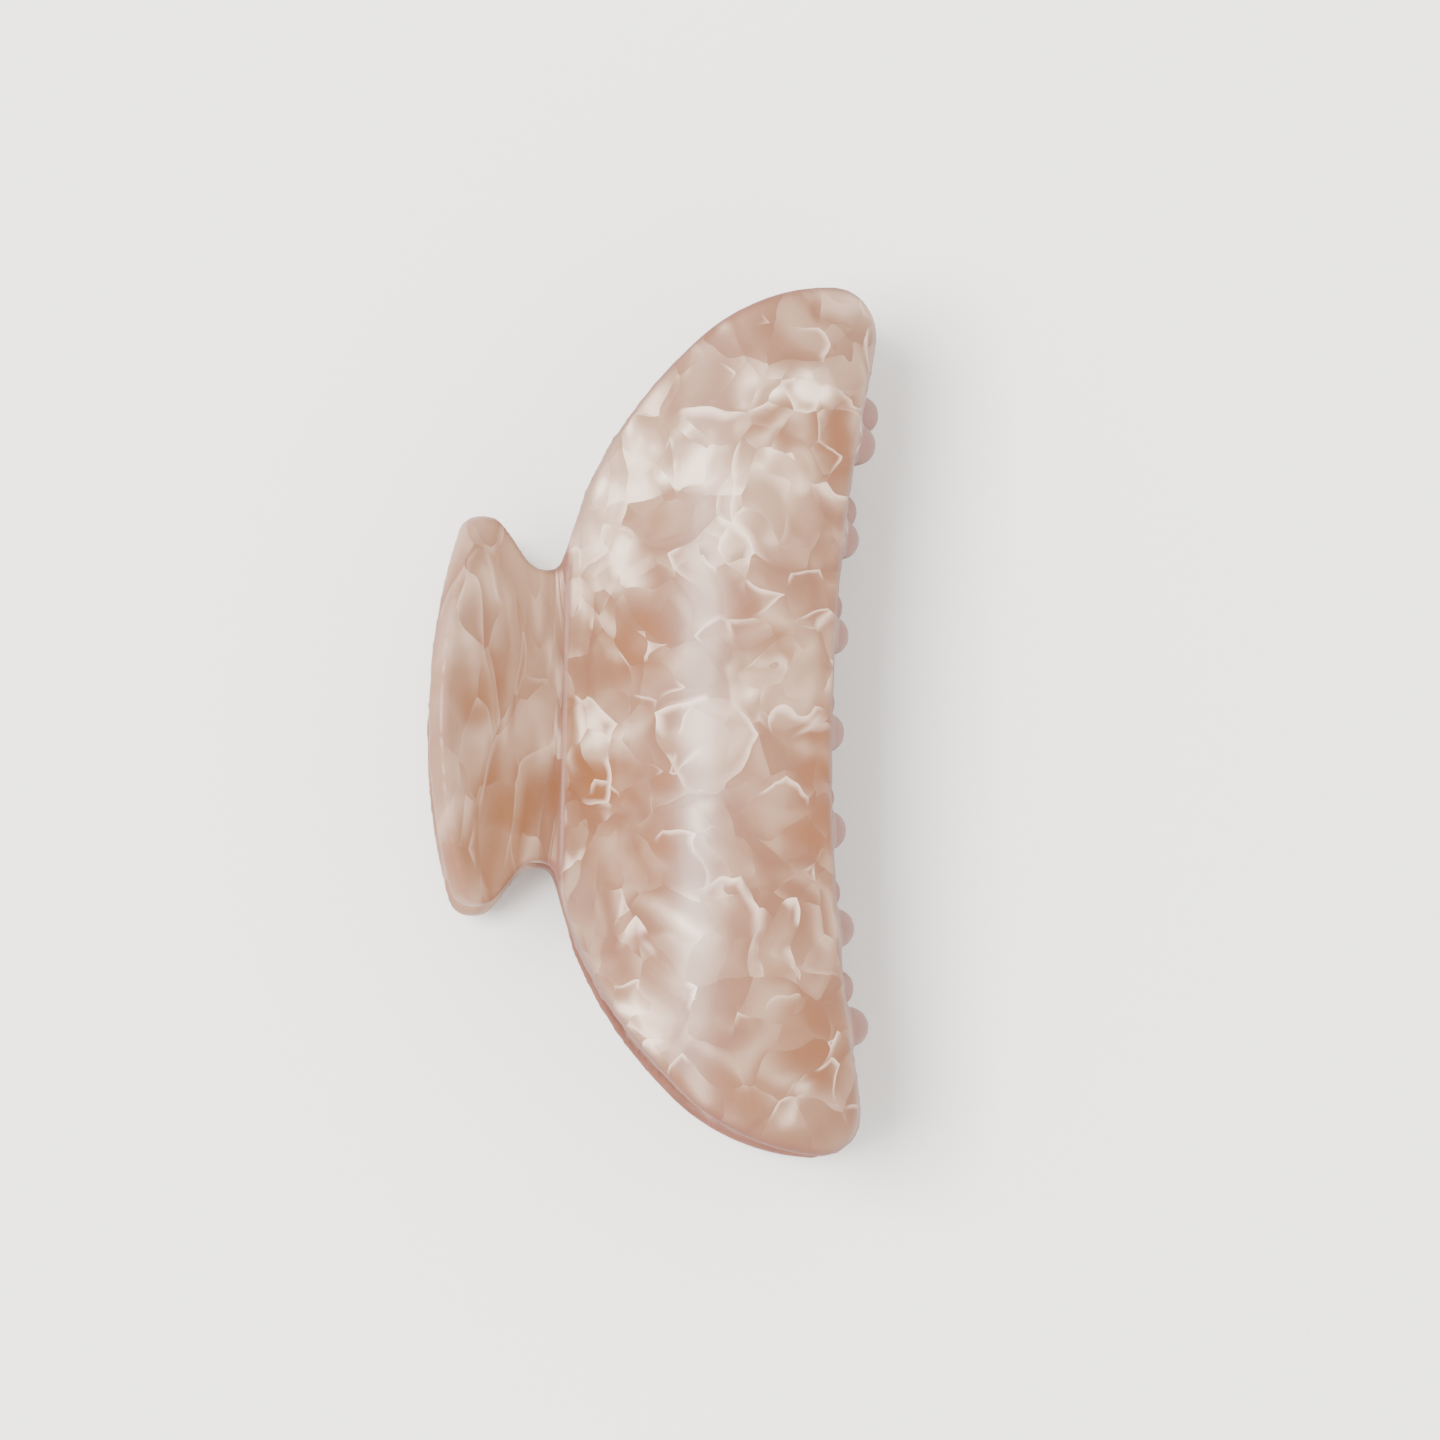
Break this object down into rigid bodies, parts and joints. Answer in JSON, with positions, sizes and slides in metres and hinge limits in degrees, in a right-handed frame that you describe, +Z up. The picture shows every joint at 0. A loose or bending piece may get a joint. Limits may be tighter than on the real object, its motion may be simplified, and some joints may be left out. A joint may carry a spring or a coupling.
{
  "type": "claw hair clip",
  "caption": "Sprung claw hair clip: two toothed crescent jaws with finger wings turn on a steel pin and close by a torsion spring.",
  "frame": {"origin": "middle of the base of the bounding box, on the surface the closed clip lies on", "axes": "+Y along the hinge pin, +X from the finger wings to the teeth, +Z up from the lower jaw to the upper jaw"},
  "size_m": [0.0578, 0.11, 0.0443],
  "materials": {
    "pearl_plastic": "polished marbled pearl",
    "pin_steel": "drawn and peened",
    "spring_steel": "drawn wire"
  },
  "bodies": {
    "lower": {"lower_jaw": "pearl_plastic", "hinge_pin": "pin_steel", "torsion_spring": "spring_steel"},
    "upper": {"upper_jaw": "pearl_plastic"}
  },
  "joints": [
    {"name": "jaw_hinge", "type": "hinge", "parent": "lower", "child": "upper", "pos_m": [-0.01114, 0, 0.02217], "axis": [0, -1, 0], "range_deg": [0, 88], "stiffness_Nm_per_rad": 0.15, "springref_deg": -68.75, "deforming": ["torsion_spring"]}
  ]
}
